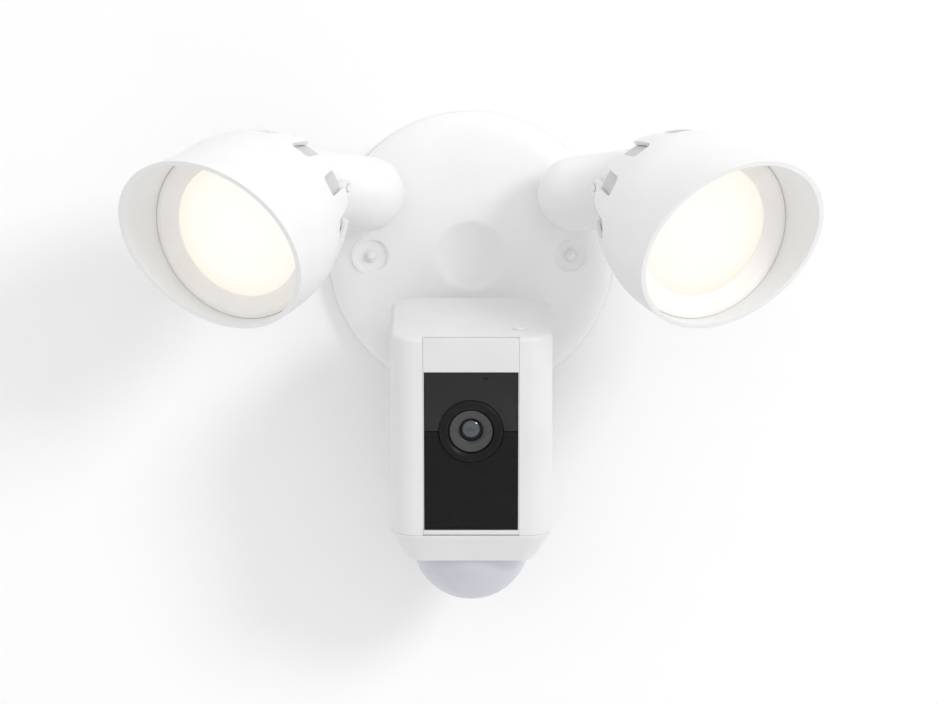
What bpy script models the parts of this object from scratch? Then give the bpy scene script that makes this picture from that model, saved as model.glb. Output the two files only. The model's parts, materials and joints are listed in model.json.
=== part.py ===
"""Twin floodlight with a security camera, on a round wall plate.

Frame: the origin is the middle of the plate's back, on the wall. The wall is the plane y = 0,
the object stands out along -Y, +X is to the right of someone facing it and +Z is up.
"""

import math

import bmesh
import bpy
from mathutils import Matrix, Vector

GAP = 0.0003

# Wall plate: depths are counted forward from the wall
PLATE_RADIUS = 0.0635
PLATE_DEPTH = 0.0140
PLATE_WALL = 0.0024
DIMPLE_RADIUS = 0.0156
DIMPLE_DEPTH = 0.0042
STUD_SPACING = 0.0889
STUD_RADIUS = 0.0021
RECESS_RADIUS = 0.0068
RECESS_FLOOR = 0.0118
BOSS_DEPTH = 0.0160
SEAL_DEPTH = 0.0015

# Lamp arms
ARM_BASE = (0.0420, 0.0260)
ARM_NECK_RADIUS = 0.0070
ARM_FOOT_RADIUS = 0.0094
ARM_FOOT_END_RADIUS = 0.0118
ARM_RADIUS = 0.0165
ARM_START = (0.0460, -0.0345, 0.0295)
ARM_LEAVES = (0.94, -0.28, 0.18)
ARM_ARRIVES = (0.61, -0.76, 0.21)
BALL_CENTRE = (0.0715, -0.0520, 0.0345)
PIN_RADIUS = 0.0016
PIN_REACH = 0.0211
HEAD_OUTWARD = math.radians(28)
HEAD_DOWN = math.radians(14)

# Lamp head: distances along its own axis, from the ball's centre
SHELL_WALL = 0.0022
LENS_RADIUS = 0.0313
NOTCHES = 12
NOTCH_TURN = math.radians(7.5)
NOTCH_HALF = 0.0047
NOTCH_TOP = 0.0415
HOOD_MIDDLE = 0.0841
HOOD_SLANT = math.radians(19.6)
CLAMP_REACH = 57
EAR_NEAR = 0.0178
EAR_FAR = 0.0207

# Camera: its frame starts at the ball's centre, -Y is its front
CAMERA_BALL = (0.0, -0.0295, -0.0435)
CAMERA_DOWN = math.radians(9.6)
BALL_RADIUS = 0.0090
HALF_WIDTH = 0.0350
FRONT = -0.0690
REAR = -0.0040
TOP = 0.0290
BODY_BOTTOM = -0.0598
SKIRT_BOTTOM = -0.0737
CORNER = 0.0115
WALL = 0.0024
PANEL_HALF = 0.0203
PANEL_TOP = 0.0139
PANEL_BOTTOM = -0.0574
LENS_HEIGHT = -0.0127
STRIP_HALF = 0.0207
PANEL_THICK = 0.0018
DOME_RADIUS = 0.0256
DOME_HOLE = 0.0242
DOME_WALL = 0.0013
DOME_Y = -0.0350
FOOT_HALF = 0.0274
BUTTON_PLACE = (0.0210, -0.0545)

SIDES = (("left", -1), ("right", 1))

FINISHES = {
    "white_plastic": ((0.86, 0.86, 0.85), 0.45, 0.0),
    "black_plastic": ((0.02, 0.02, 0.02), 0.5, 0.0),
    "black_gloss": ((0.01, 0.01, 0.012), 0.12, 0.0),
    "lens_glass": ((0.03, 0.03, 0.05), 0.05, 0.0),
    "grey_metal": ((0.55, 0.56, 0.57), 0.35, 1.0),
    "white_metal": ((0.78, 0.78, 0.77), 0.45, 0.2),
    "rubber": ((0.06, 0.06, 0.06), 0.8, 0.0),
    "diffuser": ((1.0, 0.96, 0.84), 0.4, 0.0),
    "circuit_board": ((0.05, 0.2, 0.1), 0.5, 0.0),
    "dome_plastic": ((0.78, 0.77, 0.82), 0.35, 0.0),
    "reflector": ((0.9, 0.88, 0.8), 0.3, 0.0),
    "nylon": ((0.75, 0.74, 0.7), 0.5, 0.0),
}


def clear_scene():
    for found in list(bpy.data.objects):
        bpy.data.objects.remove(found, do_unlink=True)


def new_collection(name):
    made = bpy.data.collections.new(name)
    bpy.context.scene.collection.children.link(made)
    return made


clear_scene()
PARTS = new_collection("floodlight_camera")
CUTTERS = new_collection("cutters")


def finish_named(name):
    found = bpy.data.materials.get(name)
    if found:
        return found
    colour, roughness, metallic = FINISHES[name]
    made = bpy.data.materials.new(name)
    made.use_nodes = True
    shader = made.node_tree.nodes["Principled BSDF"]
    shader.inputs["Base Color"].default_value = (*colour, 1.0)
    shader.inputs["Roughness"].default_value = roughness
    shader.inputs["Metallic"].default_value = metallic
    return made


def frame_empty(name, parent=None, location=(0, 0, 0), rotation=(0, 0, 0)):
    made = bpy.data.objects.new(name, None)
    PARTS.objects.link(made)
    made.parent = parent
    made.location = location
    made.rotation_euler = rotation
    return made


def put(name, data, parent, finish, location=(0, 0, 0), rotation=(0, 0, 0)):
    """A named part, or a cutter where the finish is None."""
    made = bpy.data.objects.new(name, data)
    if finish is None:
        CUTTERS.objects.link(made)
        made.hide_render = True
        made.display_type = "WIRE"
    else:
        PARTS.objects.link(made)
        data.materials.append(finish_named(finish))
    made.parent = parent
    made.location = location
    made.rotation_euler = rotation
    return made


def mesh_of(name, build):
    """A mesh filled by build, a function of a bmesh."""
    shape = bmesh.new()
    build(shape)
    bmesh.ops.recalc_face_normals(shape, faces=shape.faces)
    data = bpy.data.meshes.new(name)
    shape.to_mesh(data)
    shape.free()
    return data


def smooth(obj, degrees=35):
    obj.data.shade_smooth()
    obj.data.set_sharp_from_angle(angle=math.radians(degrees))


def bevelled(obj, width, segments=2):
    bevel = obj.modifiers.new("rounded_edges", "BEVEL")
    bevel.width = width
    bevel.segments = segments
    bevel.limit_method = "ANGLE"
    bevel.angle_limit = math.radians(40)
    return obj


def block(name, low, high, parent, finish, bevel=0.0, segments=2):
    """A box between two corners of the parent's frame."""
    low, high = Vector(low), Vector(high)
    size = high - low

    def build(shape):
        bmesh.ops.create_cube(shape, size=1.0, matrix=Matrix.Diagonal((*size, 1.0)))

    made = put(name, mesh_of(name, build), parent, finish, (low + high) / 2)
    return bevelled(made, bevel, segments) if bevel else made


def rod(name, radius, start, end, parent, finish, sides=24, far_radius=None):
    """A straight cylinder or cone between two points of the parent's frame."""
    start, end = Vector(start), Vector(end)
    along = end - start
    far = radius if far_radius is None else far_radius

    def build(shape):
        bmesh.ops.create_cone(
            shape, cap_ends=True, segments=sides, radius1=radius, radius2=far, depth=along.length
        )

    turn = along.to_track_quat("Z", "Y").to_euler()
    made = put(name, mesh_of(name, build), parent, finish, (start + end) / 2, turn)
    smooth(made)
    return made


def ball(name, radius, centre, parent, finish, sides=24, rings=12):
    def build(shape):
        bmesh.ops.create_uvsphere(shape, u_segments=sides, v_segments=rings, radius=radius)

    made = put(name, mesh_of(name, build), parent, finish, centre)
    smooth(made)
    return made


def turned(name, profile, parent, finish, steps=32, closed=True, location=(0, 0, 0)):
    """A profile of (radius, height) points, down its outer side, turned about the frame's Z."""
    data = bpy.data.meshes.new(name)
    points = [(radius, 0.0, height) for radius, height in profile]
    links = [(at, at + 1) for at in range(len(points) - 1)]
    if closed:
        links.append((len(points) - 1, 0))
    data.from_pydata(points, links, [])
    made = put(name, data, parent, finish, location)
    screw = made.modifiers.new("turned", "SCREW")
    screw.axis = "Z"
    screw.steps = steps
    screw.render_steps = steps
    screw.use_merge_vertices = True
    screw.merge_threshold = 0.00001
    screw.use_smooth_shade = True
    return made


def combine(obj, others, operation):
    for other in others:
        cut = obj.modifiers.new(operation.lower(), "BOOLEAN")
        cut.object = other
        cut.operation = operation
        cut.solver = "EXACT"
    return obj


def cut_by(obj, *cutters):
    return combine(obj, cutters, "DIFFERENCE")


def joined_with(obj, *others):
    return combine(obj, others, "UNION")


def arc(radius, start, end, count, centre=(0.0, 0.0)):
    """Points of (radius, height) on a circle, angles counted from +Z."""
    step = (end - start) / (count - 1)
    angles = [math.radians(start + step * at) for at in range(count)]
    return [
        (centre[0] + radius * math.sin(angle), centre[1] + radius * math.cos(angle))
        for angle in angles
    ]


def rounded_outline(half_x, low_y, high_y, corner, height, steps=5):
    """One level ring of a box with round corners."""
    centres = (
        (half_x - corner, high_y - corner, 0),
        (corner - half_x, high_y - corner, 90),
        (corner - half_x, low_y + corner, 180),
        (half_x - corner, low_y + corner, 270),
    )
    ring = []
    for x, y, start in centres:
        for at in range(steps + 1):
            angle = math.radians(start + 90 * at / steps)
            ring.append((x + corner * math.cos(angle), y + corner * math.sin(angle), height))
    return ring


def loft(name, rings, parent, finish):
    """A closed solid through level rings with the same number of points."""

    def build(shape):
        rows = [[shape.verts.new(point) for point in ring] for ring in rings]
        for lower, upper in zip(rows, rows[1:]):
            for at in range(len(lower)):
                after = (at + 1) % len(lower)
                shape.faces.new((lower[at], lower[after], upper[after], upper[at]))
        shape.faces.new(rows[0])
        shape.faces.new(list(reversed(rows[-1])))

    made = put(name, mesh_of(name, build), parent, finish)
    smooth(made)
    return made


def along_z(name, radius, x, y, low, high, parent, sides=24):
    """A round cutter or boss that runs along the parent's Z."""
    return rod(name, radius, (x, y, low), (x, y, high), parent, None, sides)


# ---------------------------------------------------------------- wall plate


def build_wall_plate(plate):
    """The moulded cover: a crowned disc with a round dimple, open at the back."""
    rim = PLATE_RADIUS
    outside = [(0.0, PLATE_DEPTH - DIMPLE_DEPTH)]
    outside += [
        (0.0080, PLATE_DEPTH - DIMPLE_DEPTH + 0.0009),
        (DIMPLE_RADIUS - 0.0004, PLATE_DEPTH - 0.0006),
        (DIMPLE_RADIUS + 0.0012, PLATE_DEPTH),
        (0.0400, PLATE_DEPTH - 0.0008),
        (0.0530, PLATE_DEPTH - 0.0026),
        (0.0585, PLATE_DEPTH - 0.0046),
        (0.0618, PLATE_DEPTH - 0.0072),
        (rim, PLATE_DEPTH - 0.0105),
        (rim, 0.0),
    ]
    inside = [
        (rim - PLATE_WALL, 0.0),
        (rim - PLATE_WALL, PLATE_DEPTH - 0.0110),
        (0.0565, PLATE_DEPTH - 0.0072),
        (0.0480, PLATE_DEPTH - 0.0044),
        (DIMPLE_RADIUS + 0.0030, PLATE_DEPTH - 0.0028),
        (0.0105, PLATE_DEPTH - DIMPLE_DEPTH - 0.0008),
        (0.0, PLATE_DEPTH - DIMPLE_DEPTH - 0.0022),
    ]
    cover = turned("wall_plate", outside + inside, plate, "white_plastic", 36, closed=False)

    bosses, bores = [], []
    stud = STUD_SPACING / 2
    for side, sign in SIDES:
        x, y = sign * ARM_BASE[0], ARM_BASE[1]
        bosses.append(along_z(side + "_arm_boss", ARM_FOOT_RADIUS + 0.0004, x, y, 0.0085, BOSS_DEPTH, plate))
        bores.append(along_z(side + "_arm_bore", ARM_NECK_RADIUS + 0.0004, x, y, 0, 0.03, plate))
        x, lip = sign * stud, RECESS_FLOOR + 0.0007
        bosses.append(along_z(side + "_stud_boss", 0.0086, x, 0, 0.0065, lip, plate, 16))
        bores.append(along_z(side + "_stud_recess", RECESS_RADIUS, x, 0, RECESS_FLOOR, 0.02, plate))
        bores.append(along_z(side + "_stud_bore", STUD_RADIUS + GAP, x, 0, 0, lip, plate, 12))
    stem_z = CAMERA_BALL[2]
    bosses.append(along_z("stem_boss", 0.0115, 0, stem_z, 0.0085, BOSS_DEPTH, plate, 20))
    bores.append(along_z("stem_bore", 0.0049, 0, stem_z, 0, 0.03, plate))
    joined_with(cover, *bosses)
    cut_by(cover, *bores)


def build_plate_parts(plate):
    """Everything that stays on the wall: seal, crossbar, fasteners, lamp driver and terminals."""
    gasket = [(0.0607, 0.0016), (0.0607, 0.0), (0.0570, 0.0), (0.0570, 0.0016)]
    turned("plate_gasket", gasket, plate, "rubber", 40)
    stud = STUD_SPACING / 2
    low, high = (-0.052, -0.009, 0), (0.052, 0.009, 0.0015)
    bar = block("mounting_bracket", low, high, plate, "grey_metal", 0.0004, 1)
    for at, x in enumerate((-0.0345, -0.026, 0.026, 0.0345)):
        cut_by(bar, along_z(f"box_screw_hole_{at}", 0.0023, x, 0, -0.01, 0.01, plate, 16))
    for at, x in enumerate((-stud, stud)):
        cut_by(bar, along_z(f"stud_hole_{at}", STUD_RADIUS + 0.0003, x, 0, -0.01, 0.01, plate, 16))

    for side, sign in SIDES:
        x = sign * stud
        rod(side + "_stud", STUD_RADIUS - 0.0002, (x, 0, 0.0002), (x, 0, 0.0118), plate, "grey_metal", 14)
        nut = [(0.0, 0.0152), (0.0010, 0.0150), (0.0018, 0.0143), (0.0022, 0.0132)]
        nut += [(0.0022, 0.0122), (0.0, 0.0122)]
        turned(side + "_cap_nut", nut, plate, "white_metal", 18, closed=False, location=(x, 0, 0))
    low, high = (-0.0160, 0.0200, 0.0022), (0.0160, 0.0430, 0.0090)
    block("lamp_driver", low, high, plate, "black_plastic", 0.0010, 1)
    block("terminal_block", (-0.011, -0.0245, 0.002), (0.011, -0.0135, 0.0088), plate, "nylon", 0.0006, 1)

    low, high = BOSS_DEPTH + GAP, BOSS_DEPTH + GAP + SEAL_DEPTH
    inner, outer = ARM_NECK_RADIUS + 0.0006, ARM_FOOT_RADIUS
    for side, sign in SIDES:
        seal = [(outer, high), (outer, low), (inner, low), (inner, high)]
        turned(side + "_arm_seal", seal, plate, "rubber", 20, location=(sign * ARM_BASE[0], ARM_BASE[1], 0))


def build_stem(plate):
    """The ball stud that carries the camera, and its nut behind the plate."""
    ball_depth = -CAMERA_BALL[1]
    neck, tail, flange = 0.0046, 0.0045, 0.0088
    waist = math.degrees(math.asin(neck / BALL_RADIUS))
    stem = [(0.0, ball_depth + BALL_RADIUS)]
    stem += arc(BALL_RADIUS, 20, 180 - waist, 7, (0.0, ball_depth))
    stem += [(neck, 0.0190), (flange, 0.0180), (flange, BOSS_DEPTH + GAP), (tail, BOSS_DEPTH + GAP)]
    stem += [(tail, 0.0035), (0.0, 0.0035)]
    place = (0, CAMERA_BALL[2], 0)
    turned("camera_stem", stem, plate, "white_metal", 20, closed=False, location=place)
    nut = [(0.0080, 0.0072), (0.0080, 0.0044), (tail + 0.0004, 0.0044), (tail + 0.0004, 0.0072)]
    turned("stem_nut", nut, plate, "grey_metal", 18, location=place)


# ---------------------------------------------------------------- lamp arms


def mirrored(point, sign):
    return Vector((sign * point[0], point[1], point[2]))


def arm_path(sign):
    """Centres and radii along the arm, round at both ends, in the world frame."""
    start, end = mirrored(ARM_START, sign), mirrored(BALL_CENTRE, sign)
    leaves, arrives = mirrored(ARM_LEAVES, sign).normalized(), mirrored(ARM_ARRIVES, sign).normalized()
    near, far = start + leaves * 0.0110, end - arrives * 0.0110
    rounding = [math.radians(degrees) for degrees in (18, 36, 54, 70, 82)]
    path = []
    for angle in reversed(rounding):
        path.append((start - leaves * ARM_RADIUS * math.sin(angle), ARM_RADIUS * math.cos(angle)))
    pieces = 6
    for at in range(pieces + 1):
        t = at / pieces
        u = 1 - t
        point = start * u ** 3 + near * 3 * t * u * u + far * 3 * t * t * u + end * t ** 3
        path.append((point, ARM_RADIUS))
    for angle in rounding:
        path.append((end + arrives * ARM_RADIUS * math.sin(angle), ARM_RADIUS * math.cos(angle)))
    return path


def build_arm(side, sign, swivel):
    """The fat elbow that carries a lamp: its neck turns in the plate, its round end holds the head."""
    path = arm_path(sign)
    curve = bpy.data.curves.new(side + "_arm_line", "CURVE")
    curve.dimensions = "3D"
    curve.bevel_depth = 1.0
    curve.bevel_resolution = 6
    curve.use_fill_caps = True
    line = curve.splines.new("POLY")
    line.points.add(len(path) - 1)
    for point, (place, radius) in zip(line.points, path):
        point.co = (*(place - swivel.location), 1.0)
        point.radius = radius
    guide = put(side + "_arm_guide", curve, swivel, None)
    bpy.context.view_layer.update()
    data = bpy.data.meshes.new_from_object(guide.evaluated_get(bpy.context.evaluated_depsgraph_get()))
    bpy.data.objects.remove(guide, do_unlink=True)
    data.name = side + "_arm"
    shape = bmesh.new()
    shape.from_mesh(data)
    bmesh.ops.remove_doubles(shape, verts=shape.verts, dist=0.00001)
    bmesh.ops.recalc_face_normals(shape, faces=shape.faces)
    shape.to_mesh(data)
    shape.free()
    data.materials.clear()
    arm = put(side + "_arm", data, swivel, "white_plastic")
    smooth(arm)
    deep = ARM_START[1]
    neck = rod(side + "_neck", ARM_NECK_RADIUS, (0, -0.0030, 0), (0, deep, 0), swivel, None, 20)
    foot_start = -(BOSS_DEPTH + 2 * GAP + SEAL_DEPTH + 0.0001)
    start, end = (0, foot_start, 0), (0, deep, 0)
    foot = rod(side + "_foot", ARM_FOOT_RADIUS, start, end, swivel, None, 20, ARM_FOOT_END_RADIUS)
    joined_with(arm, neck, foot)
    return arm


def build_arm_nut(side, swivel):
    inner, outer = ARM_NECK_RADIUS + GAP, 0.0088
    holder = frame_empty(side + "_nut_frame", swivel, (0, 0, 0), (math.radians(90), 0, 0))
    ring = [(outer, 0.0050), (outer, 0.0035), (inner, 0.0035), (inner, 0.0050)]
    turned(side + "_arm_nut", ring, holder, "grey_metal", 18)


# ---------------------------------------------------------------- lamp heads


def shell_outside():
    """Outer profile of the lamp's housing and hood, front to rear."""
    return [
        (0.0448, 0.1060),
        (0.0424, 0.0860),
        (0.0409, 0.0700),
        (0.0411, 0.0590),
        (0.0403, 0.0480),
        (0.0375, 0.0365),
        (0.0338, 0.0255),
        (0.0302, 0.0172),
    ]


def notch_cutter(name, parent):
    """A bar with a blunt arched end, to cut one notch up from the shell's rear edge."""
    half, top = NOTCH_HALF, NOTCH_TOP
    outline = [(-half, 0.010), (-half, top - 0.0036), (-0.0035, top - 0.0012), (-0.0014, top)]
    outline += [(-y, z) for y, z in reversed(outline)]

    def build(shape):
        near = [shape.verts.new((0.0235, y, z)) for y, z in outline]
        far = [shape.verts.new((0.0440, y, z)) for y, z in outline]
        shape.faces.new(near)
        shape.faces.new(list(reversed(far)))
        for at in range(len(outline)):
            after = (at + 1) % len(outline)
            shape.faces.new((near[at], near[after], far[after], far[at]))

    return put(name, mesh_of(name, build), parent, None)


def build_lamp_shell(side, sign, head):
    """Housing and hood in one moulding, with notches round its rear edge."""
    outside = shell_outside()
    inside = [(radius - SHELL_WALL, height) for radius, height in reversed(outside)]
    shell = turned(side + "_lamp_shell", outside + inside, head, "white_plastic", 32)
    slant = frame_empty(side + "_slant", head, (0, 0, HOOD_MIDDLE), (HOOD_SLANT, 0, 0))
    front = block(side + "_hood_cut", (-0.08, -0.08, 0), (0.08, 0.08, 0.08), slant, None)
    notches = []
    for at in range(NOTCHES):
        angle = 2 * math.pi * at / NOTCHES + sign * NOTCH_TURN
        turn = frame_empty(f"{side}_notch_frame_{at}", head, (0, 0, 0), (0, 0, angle))
        notches.append(notch_cutter(f"{side}_notch_{at}", turn))
    cut_by(shell, front, *notches)


def build_lamp_front(side, head):
    """Lens, bezel, reflector and the lamp board behind them."""
    lens = [(0.0, 0.0594), (0.0120, 0.0591), (0.0240, 0.0585), (0.0300, 0.0580), (LENS_RADIUS, 0.0576)]
    lens += [(LENS_RADIUS, 0.0556), (0.0, 0.0556)]
    turned(side + "_lens", lens, head, "diffuser", 24, closed=False)
    bezel = [(0.0382, 0.0632), (0.0382, 0.0560), (0.0318, 0.0560), (0.0318, 0.0588)]
    bezel += [(0.0297, 0.0592), (0.0297, 0.0602), (0.0366, 0.0632)]
    turned(side + "_bezel", bezel, head, "reflector", 28)
    reflector = [(0.0310, 0.0552), (0.0285, 0.0512), (0.0265, 0.0512), (0.0290, 0.0552)]
    turned(side + "_reflector", reflector, head, "reflector", 24)
    board = [(0.0, 0.0508), (0.0280, 0.0508), (0.0280, 0.0495), (0.0, 0.0495)]
    turned(side + "_led_board", board, head, "circuit_board", 24, closed=False)


def build_lamp_rear(side, sign, head):
    """Heat sink, the clamp round the arm's ball, its pivot pin and the lock screw."""
    seat = ARM_RADIUS + 0.0006
    outside = [(0.0370, 0.0491), (0.0370, 0.0470), (0.0346, 0.0365), (0.0310, 0.0255), (0.0272, 0.0165)]
    groove = [(0.0288, 0.0491), (0.0262, 0.0280), (0.0284, 0.0280), (0.0318, 0.0380), (0.0338, 0.0491)]
    profile = [(0.0, 0.0491)] + groove + outside + [(0.0240, 0.0150), (0.0, 0.0150)]
    sink = turned(side + "_heat_sink", profile, head, "white_metal", 28, closed=False)
    cut_by(sink, ball(side + "_seat_cut", seat, (0, 0, 0), head, None, 24, 16))

    ring = [(0.0236, 0.0147), (0.0234, 0.0105), (0.0205, 0.0075)] + arc(seat, CLAMP_REACH, 33, 4)
    clamp = turned(side + "_ball_clamp", ring, head, "white_plastic", 20)
    for name, way in (("a", -1), ("b", 1)):
        low, high = sorted((way * EAR_NEAR, way * EAR_FAR))
        ear = rod(f"{side}_ear_{name}", 0.0036, (low, 0, 0), (high, 0, 0), head, None, 16)
        web = block(f"{side}_web_{name}", (low, -0.0035, 0), (high, 0.0035, 0.0100), head, None)
        joined_with(clamp, ear, web)
    bore = PIN_RADIUS + GAP
    cut_by(clamp, rod(side + "_ear_bore", bore, (-0.03, 0, 0), (0.03, 0, 0), head, None, 16))
    rod(side + "_pivot_pin", PIN_RADIUS, (-PIN_REACH, 0, 0), (PIN_REACH, 0, 0), head, "white_metal", 16)

    out = Vector((-sign * 0.87, -0.50, 0)).normalized()
    start = out * 0.0238 + Vector((0, 0, 0.0118))
    lock = rod(side + "_lock_screw", 0.0030, start, start + out * 0.0036, head, "white_metal", 20)
    bevelled(lock, 0.0004, 1)


# ---------------------------------------------------------------- camera


def build_ball_joint(liner_frame, axis):
    """Liner, socket and lock collar round the stem's ball; heights run forward from its centre."""
    liner_in, liner_out = BALL_RADIUS + GAP, 0.0107
    liner = arc(liner_out, 28, 118, 6) + arc(liner_in, 118, 28, 6)
    turned("ball_liner", liner, liner_frame, "nylon", 20)
    seat = liner_out + GAP
    socket = [(0.0, 0.0135), (0.0148, 0.0135), (0.0148, 0.0003)]
    socket += arc(seat, 88.5, 20, 5)
    socket += [(0.0, seat)]
    turned("ball_socket", socket, axis, "white_plastic", 24, closed=False)
    collar = [(0.0148, 0.0), (0.0148, -0.0035), (0.0132, -0.0054)]
    collar += arc(seat, 118, 91.5, 4)
    turned("lock_collar", collar, axis, "white_plastic", 24)


def build_housing(camera):
    """The white housing: rounded sides and top, open below, at the back and behind the front strip."""
    edge = 0.0020
    rings = []
    for at in range(4):
        angle = math.radians(90 * at / 3)
        inset = edge * (1 - math.sin(angle))
        height = TOP - edge * (1 - math.cos(angle))
        rings.append(
            rounded_outline(HALF_WIDTH - inset, FRONT + inset, REAR - inset, CORNER - inset, height)
        )
    rings.append(rounded_outline(HALF_WIDTH, FRONT, REAR, CORNER, BODY_BOTTOM))
    housing = loft("housing_shell", rings, camera, "white_plastic")
    inner = [
        rounded_outline(HALF_WIDTH - WALL, FRONT + WALL, REAR - WALL, CORNER - WALL, height)
        for height in (TOP - WALL, BODY_BOTTOM - 0.01)
    ]
    cavity = loft("housing_cavity", inner, camera, None)
    half = STRIP_HALF + GAP
    low, high = (-half, FRONT - 0.01, BODY_BOTTOM - 0.01), (half, FRONT + WALL + 0.0002, TOP + 0.01)
    window = block("strip_window", low, high, camera, None)
    back = block("rear_window", (-0.0285, REAR - 0.004, -0.0520), (0.0285, REAR + 0.01, 0.0220), camera, None)
    button = along_z("button_hole", 0.0034, *BUTTON_PLACE, 0.0, 0.05, camera)
    cut_by(housing, cavity, window, back, button)


def build_front(camera, axis):
    """White strip, the two black panels in it and the lens."""
    low, high = (-STRIP_HALF, FRONT, BODY_BOTTOM + GAP), (STRIP_HALF, FRONT + 0.0022, TOP - 0.0002)
    strip = block("front_strip", low, high, camera, "white_plastic")
    low, high = (-PANEL_HALF, FRONT - 0.01, PANEL_BOTTOM), (PANEL_HALF, FRONT + 0.01, PANEL_TOP)
    cut_by(strip, block("panel_window", low, high, camera, None))

    start, end = (0, FRONT - 0.01, LENS_HEIGHT), (0, FRONT + 0.01, LENS_HEIGHT)
    lens_hole = rod("lens_hole", 0.0142, start, end, camera, None, 40)
    half, back = PANEL_HALF - GAP, FRONT + PANEL_THICK
    low, high = (-half, FRONT, LENS_HEIGHT + 0.0001), (half, back, PANEL_TOP - GAP)
    upper = block("black_panel", low, high, camera, "black_gloss")
    low, high = (-half, FRONT, PANEL_BOTTOM + GAP), (half, back, LENS_HEIGHT - 0.0002)
    lower = block("speaker_grille", low, high, camera, "black_plastic")
    cut_by(upper, lens_hole)
    cut_by(lower, lens_hole)

    front = -FRONT
    ring = [(0.0100, front + 0.0010), (0.0130, front + 0.0010), (0.0139, front + 0.0002)]
    ring += [(0.0139, front - 0.0030), (0.0100, front - 0.0030), (0.0096, front)]
    turned("lens_ring", ring, axis, "black_plastic", 30)
    barrel = [(0.0093, front - 0.0004), (0.0093, 0.0505), (0.0040, 0.0505), (0.0040, front - 0.0045)]
    barrel += [(0.0050, front - 0.0045), (0.0050, front - 0.0016)]
    turned("lens_barrel", barrel, axis, "black_plastic", 22)
    glass = [(0.0, front - 0.0014)] + arc(0.0070, 12, 41, 4, (0.0, front - 0.0084))
    glass += [(0.0046, front - 0.0041), (0.0, front - 0.0041)]
    turned("lens_glass", glass, axis, "lens_glass", 20, closed=False)


def build_insides(camera):
    """Boards, speaker and the metal plate that carries their heat."""
    block("sensor_board", (-0.0130, -0.0498, -0.0257), (0.0130, -0.0484, 0.0003), camera, "circuit_board")
    block("infrared_board", (-0.0180, -0.0640, 0.0032), (0.0180, -0.0628, 0.0122), camera, "circuit_board")
    block("main_board", (-0.0270, -0.0440, -0.0500), (0.0270, -0.0424, 0.0205), camera, "circuit_board")
    block("heat_spreader", (-0.0250, -0.0410, -0.0480), (0.0250, -0.0390, 0.0185), camera, "grey_metal")
    rod("speaker", 0.0140, (0, -0.0650, -0.0420), (0, -0.0560, -0.0420), camera, "black_plastic", 28, 0.0110)
    rod("microphone", 0.0022, (0.0060, -0.0668, 0.0155), (0.0060, -0.0645, 0.0155), camera, "grey_metal", 14)


def build_bottom(camera):
    """Tapered skirt, motion-sensor dome and the sensor inside it."""
    dome_frame = frame_empty("dome_frame", camera, (0, DOME_Y, SKIRT_BOTTOM))
    top = rounded_outline(HALF_WIDTH, FRONT, REAR, CORNER, BODY_BOTTOM - GAP)
    edge = rounded_outline(HALF_WIDTH - 0.0009, FRONT + 0.0008, REAR - 0.0003, CORNER, BODY_BOTTOM - 0.0018)
    low = rounded_outline(FOOT_HALF + 0.0005, FRONT + 0.0068, REAR - 0.0038, 0.0070, SKIRT_BOTTOM + 0.0010)
    foot = rounded_outline(FOOT_HALF, FRONT + 0.0074, REAR - 0.0044, 0.0066, SKIRT_BOTTOM)
    skirt = loft("bottom_skirt", [top, edge, low, foot], camera, "white_plastic")
    pocket = [
        rounded_outline(HALF_WIDTH - WALL, FRONT + WALL, REAR - WALL, CORNER - WALL, BODY_BOTTOM + 0.01),
        rounded_outline(HALF_WIDTH - WALL, FRONT + WALL, REAR - WALL, CORNER - WALL, BODY_BOTTOM - GAP),
        rounded_outline(FOOT_HALF - 0.0016, FRONT + 0.0090, REAR - 0.0060, 0.0060, SKIRT_BOTTOM + 0.0034),
    ]
    hollow = loft("skirt_hollow", pocket, camera, None)
    hole = along_z("dome_hole", DOME_HOLE, 0, 0, -0.01, 0.02, dome_frame, 40)
    cut_by(skirt, hollow, hole)

    rim = DOME_HOLE - 0.0004
    profile = [(rim, 0.0030), (rim, -GAP)] + arc(DOME_RADIUS, 90.7, 180, 9)
    profile += arc(DOME_RADIUS - DOME_WALL, 180, 103, 7) + [(rim - DOME_WALL, 0.0030)]
    turned("motion_dome", profile, dome_frame, "dome_plastic", 24)
    rod("motion_board", 0.0200, (0, 0, 0.0050), (0, 0, 0.0064), dome_frame, "circuit_board", 28)
    rod("motion_sensor", 0.0046, (0, 0, -0.0030), (0, 0, 0.0047), dome_frame, "grey_metal", 20)


def build_rear(camera):
    low, high = (-0.0282, REAR - 0.0022, -0.0517), (0.0282, REAR, 0.0217)
    cover = block("rear_cover", low, high, camera, "white_plastic")
    cut_by(cover, rod("socket_hole", 0.0151, (0, REAR - 0.01, 0), (0, REAR + 0.01, 0), camera, None, 40))

    for side, sign in SIDES:
        place = (sign * 0.0240, REAR + 0.0015, -0.0470)
        end = (sign * 0.0240, REAR + GAP, -0.0470)
        rod(side + "_rear_screw", 0.0024, end, place, camera, "grey_metal", 16)


def build_button(button):
    """Setup button on the top, standing a little proud of it."""
    cap = [(0.0, 0.0010), (0.0024, 0.0008), (0.0030, 0.0002), (0.0030, -0.0042), (0.0, -0.0042)]
    turned("setup_button", cap, button, "white_plastic", 24, closed=False)


# ---------------------------------------------------------------- assembly


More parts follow.
